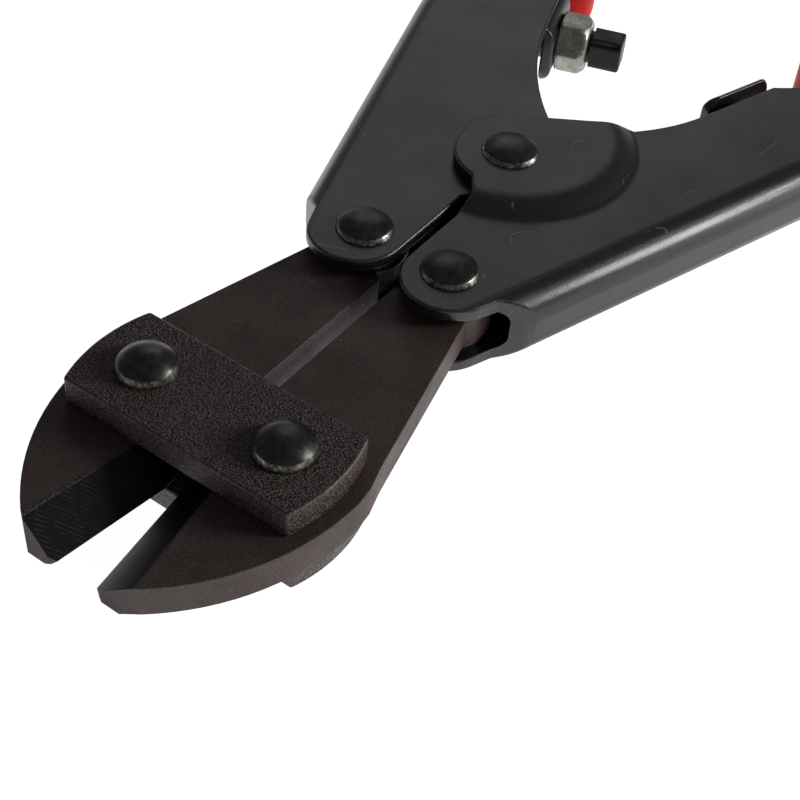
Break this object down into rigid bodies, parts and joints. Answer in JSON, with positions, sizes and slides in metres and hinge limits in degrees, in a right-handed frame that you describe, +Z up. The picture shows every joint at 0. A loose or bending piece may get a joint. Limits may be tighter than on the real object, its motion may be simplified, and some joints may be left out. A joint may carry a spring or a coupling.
{
  "type": "bolt cutters",
  "caption": "Compact compound-lever bolt cutters with two bevelled jaws between jaw plates, pressed channel handles, a square-headed closing stop screw and red sleeve grips.",
  "frame": {"origin": "centre of the tool's outline at the surface that it lies on, in the stored part-open pose", "axes": "+Y from the jaws to the grips along the centre line, +X to the right with the jaws pointing away from +Y, +Z up through the rivets"},
  "size_m": [0.1095, 0.2109, 0.0171],
  "materials": {
    "jaw_plate_paint": "fine leather-grain black powder coat",
    "jaw_steel": "matte brown-black coating with ground bevels",
    "rivet_black": "glossy black enamel",
    "handle_paint": "satin black enamel",
    "washer_steel": "oiled dark steel",
    "screw_black": "black oxide",
    "nut_zinc": "dull grey zinc plate",
    "grip_red": "bright red moulded vinyl"
  },
  "bodies": {
    "plates": {"top_jaw_plate": "jaw_plate_paint", "bottom_jaw_plate": "jaw_plate_paint", "left_front_rivet": "rivet_black", "right_front_rivet": "rivet_black"},
    "left_jaw_body": {"left_jaw": "jaw_steel"},
    "right_jaw_body": {"right_jaw": "jaw_steel"},
    "left_handle_body": {"left_handle": "handle_paint", "left_tail_rivet": "rivet_black", "left_upper_tail_washer": "washer_steel", "left_lower_tail_washer": "washer_steel", "stop_lock_nut": "nut_zinc", "left_grip": "grip_red"},
    "right_handle_body": {"right_handle": "handle_paint", "right_tail_rivet": "rivet_black", "right_upper_tail_washer": "washer_steel", "right_lower_tail_washer": "washer_steel", "centre_rivet": "rivet_black", "centre_bush": "washer_steel", "right_grip": "grip_red"},
    "stop_screw_body": {"stop_screw": "screw_black"}
  },
  "joints": [
    {"name": "left_jaw_pivot", "type": "hinge", "parent": "plates", "child": "left_jaw_body", "pos_m": [-0.01, -0.08246, 0.00855], "axis": [0, 0, 1], "range_deg": [-1, 7.38]},
    {"name": "right_jaw_pivot", "type": "hinge", "parent": "plates", "child": "right_jaw_body", "pos_m": [0.01, -0.08246, 0.00855], "axis": [0, 0, 1], "range_deg": [-7.38, 1]},
    {"name": "left_handle_pivot", "type": "hinge", "parent": "left_jaw_body", "child": "left_handle_body", "pos_m": [-0.0066, -0.04551, 0.00855], "axis": [0, 0, 1], "range_deg": [-19.2, 2.6]},
    {"name": "right_handle_pivot", "type": "hinge", "parent": "right_jaw_body", "child": "right_handle_body", "pos_m": [0.0066, -0.04551, 0.00855], "axis": [0, 0, 1], "range_deg": [-2.6, 19.2]},
    {"name": "stop_screw_travel", "type": "slide", "parent": "left_handle_body", "child": "stop_screw_body", "axis": [0.9472, 0.3206, 0], "range_m": [-0.0004, 0.0022]}
  ],
  "couplings": [
    {"joint": "left_jaw_pivot", "follows": "left_handle_pivot", "ratio": -0.384},
    {"joint": "right_jaw_pivot", "follows": "left_handle_pivot", "ratio": 0.384},
    {"joint": "right_handle_pivot", "follows": "left_handle_pivot", "ratio": -1}
  ]
}
